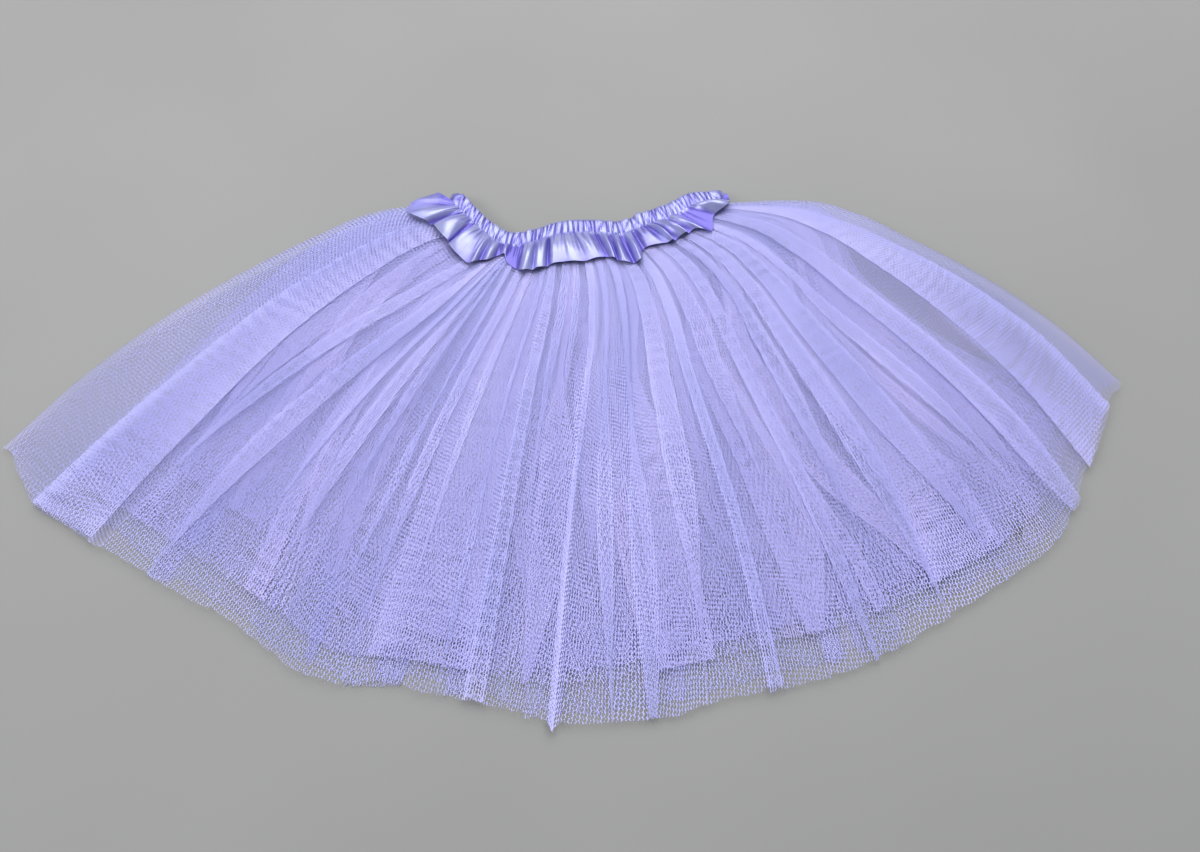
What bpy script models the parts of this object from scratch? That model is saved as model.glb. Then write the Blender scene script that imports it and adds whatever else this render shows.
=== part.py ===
"""A pull-on tutu skirt of three gathered tulle layers on a satin waistband, laid flat on its back.

Sizes are in metres. The skirt lies on the plane z = 0, its waist towards +Y and its hem towards -Y.
Its cloth fans out from one point beyond the waist. A place on it is given by two shares: across, from
-1 at the left side fold to 1 at the right one, and down, from 0 at the waist seam to 1 at the outer hem.
Every piece is a flattened tube, with its front lying on its back and a rounded fold at each side.
"""

import math

import bpy
import numpy as np


def table(columns, *rows):
    """A short table by column name. The first column is what the others are read against."""
    return dict(zip(columns.split(), np.array(rows).T))


COLLECTION = "tulle_skirt"

# The point that the folds fan out from
FAN_X = -0.0018
FAN_Y = 0.4734

# Cloth walls, the step up from the back of one layer to the next, and the gap at a seam, which is
# about 0.3 mm where the facets of both pieces lean towards it
TULLE_WALL = 0.0010
SATIN_WALL = 0.0010
CASING_WALL = 0.0034
BACK_STEP = 0.0015
SEAM_GAP = 0.0007

# How far each tube's side fold reaches out from the fold's centre line
OUTER_SIDE = 0.012
SIDE_STEP = 0.003
FRILL_SIDE = 0.0145
CASING_SIDE = 0.009
SIDE_TURNS = (45.0, 90.0, 135.0)
OUTERMOST_TURN = 90.0

# How far the cloth fans out on each side
FAN = table(
    "down left_deg right_deg",
    (0.00, 21.0, 25.5),
    (0.05, 27.0, 31.0),
    (0.10, 30.0, 35.0),
    (0.20, 33.2, 38.6),
    (0.35, 36.2, 40.8),
    (0.50, 38.1, 42.3),
    (0.75, 39.4, 43.3),
    (1.00, 39.2, 42.7),
)

# The casing's top edge, which dips where the front of the waist sags towards the hem
WAIST = table(
    "angle_deg radius",
    (-21.0, 0.277),
    (-18.0, 0.286),
    (-14.5, 0.297),
    (-10.2, 0.306),
    (-6.8, 0.301),
    (-2.8, 0.292),
    (3.3, 0.290),
    (8.1, 0.293),
    (12.7, 0.287),
    (17.6, 0.283),
    (21.7, 0.278),
    (25.5, 0.283),
)

# The outer hem
HEM = table(
    "angle_deg radius",
    (-39.2, 0.635),
    (-36.1, 0.649),
    (-32.5, 0.650),
    (-26.0, 0.653),
    (-19.0, 0.663),
    (-13.6, 0.680),
    (-10.0, 0.676),
    (-5.0, 0.678),
    (-0.8, 0.689),
    (4.9, 0.688),
    (10.1, 0.682),
    (17.5, 0.678),
    (24.9, 0.664),
    (30.9, 0.655),
    (34.0, 0.641),
    (37.0, 0.625),
    (42.7, 0.597),
)

# How much shorter the layers inside are
SHORTER = table(
    "angle_deg middle inner",
    (-39.2, 0.030, 0.075),
    (-29.0, 0.028, 0.071),
    (-19.0, 0.024, 0.060),
    (-13.0, 0.021, 0.045),
    (-6.0, 0.020, 0.034),
    (7.0, 0.030, 0.038),
    (17.0, 0.028, 0.038),
    (25.0, 0.022, 0.036),
    (42.7, 0.028, 0.050),
)

# On the way down: the height of the outer layer's top, the step down to the front of each layer
# inside it, and the share of each fold's height
LOFT = table(
    "down top step fold",
    (0.00, 0.0106, 0.0015, 0.15),
    (0.13, 0.0118, 0.0018, 0.55),
    (0.25, 0.0128, 0.0021, 0.85),
    (0.42, 0.0132, 0.0023, 1.00),
    (0.62, 0.0127, 0.0022, 1.00),
    (0.81, 0.0109, 0.0019, 0.90),
    (1.00, 0.0090, 0.0016, 0.75),
)

# The outer layer's main folds. Small ones fill the spaces between them
FOLDS = table(
    "across height",
    (-0.94, 0.0030),
    (-0.81, 0.0045),
    (-0.71, 0.0030),
    (-0.61, 0.0036),
    (-0.51, 0.0030),
    (-0.42, 0.0026),
    (-0.34, 0.0045),
    (-0.23, 0.0030),
    (-0.13, 0.0026),
    (-0.03, 0.0040),
    (0.09, 0.0034),
    (0.18, 0.0045),
    (0.27, 0.0034),
    (0.39, 0.0045),
    (0.54, 0.0040),
    (0.66, 0.0030),
    (0.76, 0.0030),
    (0.86, 0.0042),
    (0.94, 0.0034),
)
SMALL_FOLD_PITCH = 0.055
SMALL_FOLD_SHARE = 0.45
CREST_SHARE = 0.30

# The two inner layers have low, wide folds, and start a little further down than the one outside
SOFT_FOLDS = 20
SOFT_FOLD_DEPTH = 0.0009
INNER_START = 0.0003

# Rows of points on a layer, up to the share from which they are spaced to its own hem
SHARED_ROWS = (0.0, 0.05, 0.13, 0.25, 0.42, 0.62)
HEM_ROWS = (0.5, 1.0)

# Columns across the back of every piece, which lies flat
BACK_COLUMNS = 30

# The back frill lies under the outer layer, which comes down to the floor beyond it
BACK_LIFT = 0.0015
LIFT_ENDS = (0.12, 0.24)

# Waist casing
CASING_LENGTH = 0.014
CASING_GATHERS = 60
GATHER_HEIGHT = 0.0013
CASING_ROWS = table(
    "share top",
    (0.0, 0.0096),
    (0.5, 0.0107),
    (1.0, 0.0106),
)

# Waist frill: its length below the casing, and its loose waves
FRILL = table(
    "angle_deg length",
    (-21.0, 0.024),
    (-17.7, 0.026),
    (-14.2, 0.030),
    (-12.0, 0.022),
    (-9.7, 0.010),
    (-7.5, 0.024),
    (-3.8, 0.034),
    (2.0, 0.031),
    (5.1, 0.025),
    (9.0, 0.032),
    (11.2, 0.020),
    (14.1, 0.023),
    (18.0, 0.018),
    (20.0, 0.028),
    (25.5, 0.010),
)
FRILL_BACK_LENGTH = 0.018
FRILL_WAVES = 14
FRILL_WAVE_HEIGHT = 0.0045
FRILL_CLEAR = 0.0016
FRILL_ROWS = (0.0, 0.35, 0.70, 1.0)
WAVE_SHAPE = table(
    "phase rise",
    (0.00, 0.0),
    (0.30, 0.8),
    (0.50, 1.0),
    (0.62, 0.7),
    (1.00, 0.0),
)

MATERIALS = {
    "tulle": dict(color=(0.43, 0.40, 0.86, 1.0), roughness=0.75),
    "satin": dict(color=(0.50, 0.44, 0.93, 1.0), roughness=0.32),
}


def read(rows, column, x):
    """One column at x, along a smooth curve through the table's rows."""
    keys = next(iter(rows.values()))
    values = rows[column]
    slopes = np.gradient(values, keys)
    x = min(max(x, keys[0]), keys[-1])
    i = min(int(np.searchsorted(keys, x, side="right")) - 1, len(keys) - 2)
    step = keys[i + 1] - keys[i]
    f = (x - keys[i]) / step
    start = (1 + 2 * f) * (1 - f) ** 2 * values[i] + f * (1 - f) ** 2 * step * slopes[i]
    end = f * f * (3 - 2 * f) * values[i + 1] - f * f * (1 - f) * step * slopes[i + 1]
    return float(start + end)


def mix(a, b, share):
    return a + (b - a) * share


def ease(x, start, end):
    """From 0 at start to 1 at end, smoothly."""
    f = min(max((x - start) / (end - start), 0.0), 1.0)
    return f * f * (3 - 2 * f)


def fan_angle(across, down):
    """The angle from straight down the skirt, in degrees."""
    left = read(FAN, "left_deg", down)
    right = read(FAN, "right_deg", down)
    return (right - left) / 2 + across * (right + left) / 2


def seam_radius(across):
    """Where the casing ends and the tulle and the frill begin."""
    return read(WAIST, "radius", fan_angle(across, 0.0)) + CASING_LENGTH


def hem_radius(across):
    return read(HEM, "radius", fan_angle(across, 1.0))


def share_down(across, length):
    """The share down of a place at this length below the seam."""
    return length / (hem_radius(across) - seam_radius(across))


def in_plan(across, radius, down, outward=0.0):
    """Plan place. The front and back run between the centre lines of the side folds, and outward goes
    on from there round a side fold, where OUTER_SIDE reaches the fan's edge."""
    middle = math.radians(fan_angle(0.0, down))
    half = math.radians(fan_angle(1.0, down)) - middle - OUTER_SIDE / radius
    angle = middle + across * half + math.copysign(outward / radius, across)
    return FAN_X + radius * math.sin(angle), FAN_Y - radius * math.cos(angle)


def ring(front, side_reach, radius_at, down_at, front_top, back_bottom):
    """One row of points round a tube: the front from left to right, then the back again."""
    points = []

    def add(across, height, outward, on_back):
        radius = radius_at(across, on_back)
        x, y = in_plan(across, radius, down_at(across, on_back), outward)
        points.append((x, y, height))

    def add_side(across, turns):
        top = front_top(across)
        bottom = back_bottom(across)
        for turn in turns:
            angle = math.radians(turn)
            height = (top + bottom) / 2 + (top - bottom) / 2 * math.cos(angle)
            add(across, height, side_reach * math.sin(angle), turn > OUTERMOST_TURN)

    for across in front:
        add(across, front_top(across), 0.0, False)
    add_side(1.0, SIDE_TURNS)
    for i in range(BACK_COLUMNS + 1):
        across = mix(1.0, -1.0, i / BACK_COLUMNS)
        add(across, back_bottom(across), 0.0, True)
    add_side(-1.0, reversed(SIDE_TURNS))
    return points


def make_material(name):
    look = MATERIALS[name]
    material = bpy.data.materials.new(name)
    material.use_nodes = True
    shader = material.node_tree.nodes["Principled BSDF"]
    shader.inputs["Base Color"].default_value = look["color"]
    shader.inputs["Roughness"].default_value = look["roughness"]
    shader.inputs["Metallic"].default_value = 0.0
    material.diffuse_color = look["color"]
    return material


def loft_tube(name, rings, wall, material, collection):
    """A cloth tube through the rings, open at both ends, whose wall grows inwards."""
    count = len(rings[0])
    points = [point for row in rings for point in row]
    faces = []
    for row in range(len(rings) - 1):
        for i in range(count):
            j = (i + 1) % count
            above = row * count
            below = above + count
            faces.append((above + i, below + i, below + j, above + j))
    mesh = bpy.data.meshes.new(name)
    mesh.from_pydata(points, [], faces)
    mesh.shade_smooth()
    mesh.materials.append(material)
    piece = bpy.data.objects.new(name, mesh)
    collection.objects.link(piece)
    cloth = piece.modifiers.new("cloth", "SOLIDIFY")
    cloth.thickness = wall
    cloth.offset = -1.0
    return piece


def fold_columns():
    """The outer layer's front columns, as (across, height): a valley, then both shoulders of a crest."""
    crests = []
    for i, across in enumerate(FOLDS["across"]):
        crests.append((across, FOLDS["height"][i]))
        if i + 1 == len(FOLDS["across"]):
            break
        space = FOLDS["across"][i + 1] - across
        small = max(int(space / SMALL_FOLD_PITCH) - 1, 1)
        height = SMALL_FOLD_SHARE * min(FOLDS["height"][i], FOLDS["height"][i + 1])
        for n in range(small):
            crests.append((across + space * (n + 1) / (small + 1), height))
    columns = [(-1.0, 0.0)]
    for i, (across, height) in enumerate(crests):
        before = crests[i - 1][0] if i else -1.0 - (across + 1.0)
        after = crests[i + 1][0] if i + 1 < len(crests) else 1.0 + (1.0 - across)
        columns.append((across - CREST_SHARE * (across - before) / 2, height))
        columns.append((across + CREST_SHARE * (after - across) / 2, height))
        columns.append(((across + after) / 2, 0.0))
    columns[-1] = (1.0, 0.0)
    return columns


def soft_columns():
    """An inner layer's front columns, as (across, height): a crest and a trough for each low fold."""
    count = 2 * SOFT_FOLDS
    return [(mix(-1.0, 1.0, i / count), -SOFT_FOLD_DEPTH * (i % 2)) for i in range(count + 1)]


def tulle_layer(name, depth, column, columns, collection, material):
    """One tube of net. depth counts the layers outside it."""
    side_reach = OUTER_SIDE - SIDE_STEP * depth
    height_at = dict(columns)

    def hem_share(across):
        shorter = read(SHORTER, column, fan_angle(across, 1.0)) if column else 0.0
        return 1.0 - share_down(across, shorter)

    def row_at(share_of_row):
        shared, below = share_of_row

        def down_at(across, _on_back=False):
            return mix(shared, hem_share(across), below)

        def radius_at(across, _on_back=False):
            down = down_at(across)
            start = SEAM_GAP + INNER_START * depth
            return mix(seam_radius(across) + start, hem_radius(across), down)

        def front_top(across):
            down = down_at(across)
            fold = height_at[across] * read(LOFT, "fold", down)
            return read(LOFT, "top", down) - read(LOFT, "step", down) * depth + fold

        def back_bottom(across):
            lift = BACK_LIFT * (1.0 - ease(down_at(across), *LIFT_ENDS))
            return lift + BACK_STEP * depth

        front = [across for across, _ in columns]
        return ring(front, side_reach, radius_at, down_at, front_top, back_bottom)

    steps = [(down, 0.0) for down in SHARED_ROWS]
    steps += [(SHARED_ROWS[-1], below) for below in HEM_ROWS]
    rings = [row_at(step) for step in steps]
    return loft_tube(name, rings, TULLE_WALL, material, collection)


def waist_casing(collection, material):
    """The gathered band that holds the elastic."""
    count = 2 * CASING_GATHERS
    front = [mix(-1.0, 1.0, i / count) for i in range(count + 1)]
    gather_at = {across: GATHER_HEIGHT * (i % 2) for i, across in enumerate(front)}
    rings = []
    for share, top in zip(CASING_ROWS["share"], CASING_ROWS["top"]):
        def radius_at(across, _on_back, share=share):
            return seam_radius(across) - CASING_LENGTH * (1.0 - share)

        def front_top(across, top=top):
            return top + gather_at[across]

        rings.append(ring(front, CASING_SIDE, radius_at, lambda *_: 0.0, front_top, lambda _: 0.0))
    return loft_tube("waist_casing", rings, CASING_WALL, material, collection)


def wave_columns():
    """The frill's front columns, as (across, rise): a slow climb and a quick fall for each wave."""
    columns = []
    for wave in range(FRILL_WAVES):
        for phase, rise in zip(WAVE_SHAPE["phase"][:-1], WAVE_SHAPE["rise"][:-1]):
            columns.append((mix(-1.0, 1.0, (wave + phase) / FRILL_WAVES), float(rise)))
    columns.append((1.0, 0.0))
    return columns


def waist_frill(collection, material):
    """The loose ruffle below the casing: over the tulle in front and under it behind."""
    columns = wave_columns()
    front = [across for across, _ in columns]
    rise_at = dict(columns)
    tallest_fold = max(FOLDS["height"])
    rings = []
    for share in FRILL_ROWS:
        def length_at(across, on_back, share=share):
            front_length = read(FRILL, "length", fan_angle(across, 0.0))
            return SEAM_GAP + share * (FRILL_BACK_LENGTH if on_back else front_length)

        def radius_at(across, on_back):
            return seam_radius(across) + length_at(across, on_back)

        def down_at(across, on_back):
            return share_down(across, length_at(across, on_back))

        def front_top(across, share=share):
            down = down_at(across, False)
            clear = read(LOFT, "fold", down) * tallest_fold + FRILL_CLEAR
            wave = FRILL_WAVE_HEIGHT * share * rise_at[across]
            return read(LOFT, "top", down) + clear + wave

        rings.append(ring(front, FRILL_SIDE, radius_at, down_at, front_top, lambda _: 0.0))
    return loft_tube("waist_frill", rings, SATIN_WALL, material, collection)


def main():
    for thing in list(bpy.data.objects):
        bpy.data.objects.remove(thing, do_unlink=True)
    collection = bpy.data.collections.new(COLLECTION)
    bpy.context.scene.collection.children.link(collection)
    tulle = make_material("tulle")
    satin = make_material("satin")
    tulle_layer("tulle_outer", 0, None, fold_columns(), collection, tulle)
    tulle_layer("tulle_middle", 1, "middle", soft_columns(), collection, tulle)
    tulle_layer("tulle_inner", 2, "inner", soft_columns(), collection, tulle)
    waist_casing(collection, satin)
    waist_frill(collection, satin)


main()
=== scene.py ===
"""The looks of a lilac tulle skirt that is laid flat: sheer gathered net, a satin casing and its ruffle.

Sizes are in metres, in the part's own frame: the skirt lies on z = 0, its waist towards +Y and its hem
towards -Y. A place on it is given by two shares, as in the part's source: across, from -1 at the left
side fold to 1 at the right one, and down, from 0 at the waist seam to 1 at the outer hem.
"""

import math

import bpy
import numpy as np
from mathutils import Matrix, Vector


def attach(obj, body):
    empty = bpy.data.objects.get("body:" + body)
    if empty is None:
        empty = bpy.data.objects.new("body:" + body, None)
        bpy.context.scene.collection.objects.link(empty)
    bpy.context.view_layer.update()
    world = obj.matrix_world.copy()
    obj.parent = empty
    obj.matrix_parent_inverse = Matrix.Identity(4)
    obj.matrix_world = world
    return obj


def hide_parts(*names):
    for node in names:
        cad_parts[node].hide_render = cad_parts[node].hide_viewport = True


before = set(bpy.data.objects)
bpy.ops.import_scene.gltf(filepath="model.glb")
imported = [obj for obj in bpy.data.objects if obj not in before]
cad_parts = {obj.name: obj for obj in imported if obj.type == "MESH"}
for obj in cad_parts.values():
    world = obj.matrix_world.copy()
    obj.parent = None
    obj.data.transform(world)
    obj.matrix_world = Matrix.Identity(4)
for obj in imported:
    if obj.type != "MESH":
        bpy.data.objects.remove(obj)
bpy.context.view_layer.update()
BODY = "root"
SEED = 7


def table(columns, *rows):
    """A short table by column name. A curve is read against its first column."""
    return dict(zip(columns.split(), np.array(rows, dtype=float).T))


# The camera, where the photo was taken from: its place, its tilt from straight down and its field
CAMERA_AT = (0.0202, -0.4136, 0.718)
CAMERA_TILT_DEG = 30.0
CAMERA_FIELD_DEG = 55.0

# The point that the folds fan out from, and the part's own sizes
FAN_X = -0.0018
FAN_Y = 0.4734
BACK_STEP = 0.0015
SEAM_GAP = 0.0007
OUTER_SIDE = 0.012
SIDE_STEP = 0.003
CASING_SIDE = 0.009
CASING_LENGTH = 0.014

# How far the cloth fans out on each side
FAN = table(
    "down left_deg right_deg",
    (0.00, 21.0, 25.5),
    (0.05, 27.0, 31.0),
    (0.10, 30.0, 35.0),
    (0.20, 33.2, 38.6),
    (0.35, 36.2, 40.8),
    (0.50, 38.1, 42.3),
    (0.75, 39.4, 43.3),
    (1.00, 39.2, 42.7),
)

# The casing's top edge
WAIST = table(
    "angle_deg radius",
    (-21.0, 0.277),
    (-18.0, 0.286),
    (-14.5, 0.297),
    (-10.2, 0.306),
    (-6.8, 0.301),
    (-2.8, 0.292),
    (3.3, 0.290),
    (8.1, 0.293),
    (12.7, 0.287),
    (17.6, 0.283),
    (21.7, 0.278),
    (25.5, 0.283),
)

# The outer hem
HEM = table(
    "angle_deg radius",
    (-39.2, 0.635),
    (-36.1, 0.649),
    (-32.5, 0.650),
    (-26.0, 0.653),
    (-19.0, 0.663),
    (-13.6, 0.680),
    (-10.0, 0.676),
    (-5.0, 0.678),
    (-0.8, 0.689),
    (4.9, 0.688),
    (10.1, 0.682),
    (17.5, 0.678),
    (24.9, 0.664),
    (30.9, 0.655),
    (34.0, 0.641),
    (37.0, 0.625),
    (42.7, 0.597),
)

# How much shorter the layers inside are
SHORTER = table(
    "angle_deg middle inner",
    (-39.2, 0.030, 0.075),
    (-29.0, 0.028, 0.071),
    (-19.0, 0.024, 0.060),
    (-13.0, 0.021, 0.045),
    (-6.0, 0.020, 0.034),
    (7.0, 0.030, 0.038),
    (17.0, 0.028, 0.038),
    (25.0, 0.022, 0.036),
    (42.7, 0.028, 0.050),
)

# On the way down: the height of the outer layer's top, the step to the layer inside it, and the
# share of each fold's height
LOFT = table(
    "down top step fold",
    (0.00, 0.0088, 0.0012, 0.12),
    (0.04, 0.0104, 0.0015, 0.20),
    (0.13, 0.0116, 0.0018, 0.36),
    (0.25, 0.0122, 0.0021, 0.55),
    (0.42, 0.0121, 0.0022, 0.60),
    (0.62, 0.0107, 0.0020, 0.55),
    (0.81, 0.0082, 0.0016, 0.42),
    (1.00, 0.0050, 0.0011, 0.18),
)

# How far each layer reaches to the sides, as a share of the outer layer's reach
REACH = {
    "outer": table("down left right", (0.0, 1.0, 1.0), (1.0, 1.0, 1.0)),
    "middle": table(
        "down left right",
        (0.00, 1.00, 1.00),
        (0.20, 0.99, 0.96),
        (0.32, 0.97, 0.83),
        (0.50, 0.92, 0.80),
        (0.70, 0.89, 0.82),
        (0.85, 0.88, 0.86),
        (1.00, 0.88, 0.88),
    ),
    "inner": table(
        "down left right",
        (0.00, 1.00, 1.00),
        (0.20, 0.97, 0.94),
        (0.34, 0.94, 0.81),
        (0.60, 0.88, 0.79),
        (0.80, 0.86, 0.82),
        (1.00, 0.86, 0.84),
    ),
}

# The outer layer's main folds, from left to right: where each lies across at the waist, at 0.3 and at
# 0.65 of the way down and at the hem, half its overlap as a share across, where it begins and ends on
# the way down, the way it leans, and its height
PLEAT_DOWN = (0.0, 0.30, 0.65, 1.0)
PLEATS = table(
    "waist upper lower hem half begins ends lean height",
    (-0.830, -0.843, -0.832, -0.850, 0.060, 0.00, 1.40, 1, 0.0012),
    (-0.520, -0.660, -0.735, -0.770, 0.012, 0.20, 0.80, -1, 0.0014),
    (-0.450, -0.560, -0.640, -0.680, 0.024, 0.15, 0.95, 1, 0.0022),
    (-0.395, -0.460, -0.487, -0.500, 0.015, 0.30, 0.85, -1, 0.0018),
    (-0.350, -0.362, -0.376, -0.400, 0.011, 0.55, 0.82, 1, 0.0012),
    (-0.290, -0.322, -0.338, -0.346, 0.012, 0.00, 0.85, -1, 0.0024),
    (-0.165, -0.160, -0.160, -0.166, 0.014, 0.00, 1.30, 1, 0.0016),
    (-0.100, -0.115, -0.122, -0.128, 0.012, 0.00, 0.50, 1, 0.0014),
    (-0.000, -0.012, -0.048, -0.062, 0.004, 0.00, 1.40, 1, 0.0016),
    (0.050, 0.032, 0.015, 0.018, 0.014, 0.50, 0.98, -1, 0.0014),
    (0.110, 0.090, 0.078, 0.072, 0.020, 0.60, 1.08, 1, 0.0012),
    (0.190, 0.170, 0.160, 0.145, 0.026, 0.00, 0.88, -1, 0.0022),
    (0.262, 0.243, 0.243, 0.240, 0.010, 0.00, 1.40, 1, 0.0016),
    (0.320, 0.310, 0.312, 0.315, 0.030, 0.00, 0.58, -1, 0.0012),
    (0.395, 0.380, 0.380, 0.385, 0.014, 0.00, 1.05, -1, 0.0022),
    (0.470, 0.460, 0.440, 0.430, 0.020, 0.30, 0.75, 1, 0.0016),
    (0.540, 0.520, 0.512, 0.508, 0.024, 0.00, 0.96, 1, 0.0020),
    (0.610, 0.590, 0.596, 0.615, 0.034, 0.00, 0.90, -1, 0.0014),
    (0.680, 0.665, 0.700, 0.720, 0.016, 0.35, 0.88, 1, 0.0018),
    (0.770, 0.770, 0.778, 0.785, 0.026, 0.15, 1.15, -1, 0.0012),
    (0.900, 0.930, 0.925, 0.910, 0.060, 0.00, 1.40, -1, 0.0012),
)

# The middle layer's two broad folds, in the same columns
BROAD_FOLDS = table(
    "waist upper lower hem half begins ends lean height",
    (-0.235, -0.253, -0.276, -0.286, 0.082, 0.00, 1.60, -1, 0.0010),
    (0.620, 0.680, 0.700, 0.650, 0.075, 0.15, 1.60, 1, 0.0008),
)

# Between these shares across, on the left and on the right, the outer layer has no small folds
PLAIN_PLACES = ((-1.0, -0.90), (0.80, 1.0))

# The waist ruffle, fold line by fold line along the cloth: its angle at the seam and at the edge, its
# length, and its height above the tulle at the edge and half way
FRILL = table(
    "seam_deg edge_deg length edge_height middle_height",
    (-21.0, -22.2, -0.0070, 0.0014, 0.0016),
    (-21.0, -23.9, 0.0030, 0.0022, 0.0026),
    (-21.0, -24.9, 0.0120, 0.0018, 0.0022),
    (-20.8, -24.6, 0.0215, 0.0020, 0.0028),
    (-20.6, -23.4, 0.0240, 0.0030, 0.0040),
    (-20.1, -21.6, 0.0250, 0.0032, 0.0042),
    (-19.6, -20.6, 0.0250, 0.0006, 0.0010),
    (-19.1, -20.2, 0.0235, 0.0004, 0.0006),
    (-18.7, -19.8, 0.0240, 0.0034, 0.0050),
    (-18.1, -18.2, 0.0260, 0.0046, 0.0060),
    (-17.5, -17.1, 0.0260, 0.0034, 0.0034),
    (-16.9, -16.9, 0.0255, 0.0008, 0.0010),
    (-16.3, -17.0, 0.0270, 0.0010, 0.0016),
    (-15.7, -16.4, 0.0285, 0.0030, 0.0052),
    (-15.0, -14.9, 0.0300, 0.0026, 0.0040),
    (-14.2, -13.4, 0.0310, 0.0018, 0.0030),
    (-13.4, -12.6, 0.0270, 0.0028, 0.0046),
    (-12.7, -11.9, 0.0220, 0.0012, 0.0018),
    (-12.0, -11.0, 0.0200, 0.0028, 0.0042),
    (-11.2, -9.9, 0.0130, 0.0010, 0.0012),
    (-10.3, -9.1, 0.0110, 0.0020, 0.0024),
    (-9.6, -8.6, 0.0180, 0.0006, 0.0008),
    (-8.8, -7.6, 0.0250, 0.0004, 0.0004),
    (-7.9, -6.9, 0.0290, 0.0008, 0.0006),
    (-7.0, -6.2, 0.0330, 0.0046, 0.0056),
    (-6.3, -5.6, 0.0335, 0.0044, 0.0060),
    (-5.8, -4.9, 0.0335, 0.0020, 0.0020),
    (-5.2, -4.4, 0.0340, 0.0044, 0.0056),
    (-4.5, -3.6, 0.0345, 0.0040, 0.0046),
    (-4.0, -3.1, 0.0330, 0.0010, 0.0010),
    (-3.4, -2.3, 0.0315, 0.0026, 0.0040),
    (-2.3, -1.0, 0.0310, 0.0022, 0.0036),
    (-1.2, 0.4, 0.0312, 0.0032, 0.0044),
    (0.0, 1.8, 0.0308, 0.0020, 0.0026),
    (1.3, 3.1, 0.0285, 0.0030, 0.0042),
    (2.6, 4.2, 0.0265, 0.0018, 0.0024),
    (3.8, 5.0, 0.0260, 0.0012, 0.0008),
    (4.9, 5.7, 0.0275, 0.0034, 0.0048),
    (5.7, 6.1, 0.0285, 0.0010, 0.0006),
    (6.5, 6.9, 0.0305, 0.0030, 0.0046),
    (7.2, 7.7, 0.0315, 0.0018, 0.0014),
    (7.9, 8.3, 0.0318, 0.0006, 0.0006),
    (8.6, 9.0, 0.0322, 0.0048, 0.0056),
    (9.2, 9.3, 0.0310, 0.0040, 0.0030),
    (9.8, 9.8, 0.0215, 0.0006, 0.0006),
    (10.4, 10.6, 0.0205, 0.0018, 0.0022),
    (11.3, 12.0, 0.0225, 0.0022, 0.0030),
    (12.2, 13.3, 0.0240, 0.0018, 0.0014),
    (12.9, 14.0, 0.0250, 0.0050, 0.0058),
    (13.4, 14.4, 0.0240, 0.0008, 0.0008),
    (14.0, 15.2, 0.0220, 0.0020, 0.0034),
    (14.7, 16.2, 0.0225, 0.0052, 0.0060),
    (15.3, 16.6, 0.0215, 0.0010, 0.0010),
    (16.2, 17.6, 0.0200, 0.0020, 0.0030),
    (17.1, 18.6, 0.0240, 0.0030, 0.0034),
    (18.1, 19.7, 0.0290, 0.0008, 0.0006),
    (19.1, 20.4, 0.0250, 0.0004, 0.0004),
    (20.2, 21.2, 0.0170, 0.0010, 0.0008),
    (21.4, 23.2, 0.0135, 0.0056, 0.0066),
    (22.4, 24.4, 0.0070, 0.0040, 0.0052),
    (23.8, 25.0, 0.0010, 0.0008, 0.0012),
    (25.5, 25.2, -0.0065, 0.0004, 0.0006),
)


def read(rows, column, x):
    """One column at x, a number or an array, along a smooth curve through the table's rows."""
    keys = next(iter(rows.values()))
    values = rows[column]
    slopes = np.gradient(values, keys)
    x = np.clip(x, keys[0], keys[-1])
    i = np.clip(np.searchsorted(keys, x, side="right") - 1, 0, len(keys) - 2)
    step = keys[i + 1] - keys[i]
    f = (x - keys[i]) / step
    start = (1 + 2 * f) * (1 - f) ** 2 * values[i] + f * (1 - f) ** 2 * step * slopes[i]
    end = f * f * (3 - 2 * f) * values[i + 1] - f * f * (1 - f) * step * slopes[i + 1]
    return start + end


def mix(a, b, share):
    return a + (b - a) * share


def ease(x, start, end):
    """From 0 at start to 1 at end, smoothly."""
    f = np.clip((x - start) / (end - start), 0.0, 1.0)
    return f * f * (3 - 2 * f)


def fan_angle(across, down):
    """The angle from straight down the skirt, in degrees."""
    left = read(FAN, "left_deg", down)
    right = read(FAN, "right_deg", down)
    return (right - left) / 2 + across * (right + left) / 2


def seam_radius(across):
    """Where the casing ends and the tulle and the frill begin."""
    return read(WAIST, "radius", fan_angle(across, 0.0)) + CASING_LENGTH


def hem_radius(across):
    return read(HEM, "radius", fan_angle(across, 1.0))


def half_angle(down, radius):
    middle = np.radians(fan_angle(0.0, down))
    return np.radians(fan_angle(1.0, down)) - middle - OUTER_SIDE / radius


def polar(angle, radius):
    return FAN_X + radius * np.sin(angle), FAN_Y - radius * np.cos(angle)


def in_plan(across, radius, down, outward):
    """Plan place, with outward going on round a side fold."""
    middle = np.radians(fan_angle(0.0, down))
    angle = middle + across * half_angle(down, radius) + np.copysign(outward / radius, across)
    return polar(angle, radius)


def spread(start, end, count):
    return start + (end - start) * np.arange(count) / (count - 1)


def between(span, share):
    """From the span's first number to that plus its second, at a share of 1."""
    return span[0] + span[1] * share


def upper_share(turn):
    """On the way round a tube: 1 on its front, 0 on its back and between them at a side fold."""
    return (1 + np.cos(turn)) / 2


WAVE_GAIN = 1.4


class Noise:
    """Smooth noise along a line: a few seeded waves of mixed lengths, between about -1 and 1."""

    def __init__(self, seed, shortest, longest, waves):
        draw = np.random.default_rng(seed)
        self.length = shortest * (longest / shortest) ** draw.random(waves)
        self.phase = draw.random(waves) * 2 * math.pi
        self.scale = WAVE_GAIN / math.sqrt(waves)

    def at(self, x):
        x = np.asarray(x, dtype=float)[..., None]
        return self.scale * np.sin(2 * math.pi * x / self.length + self.phase).sum(-1)


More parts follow.
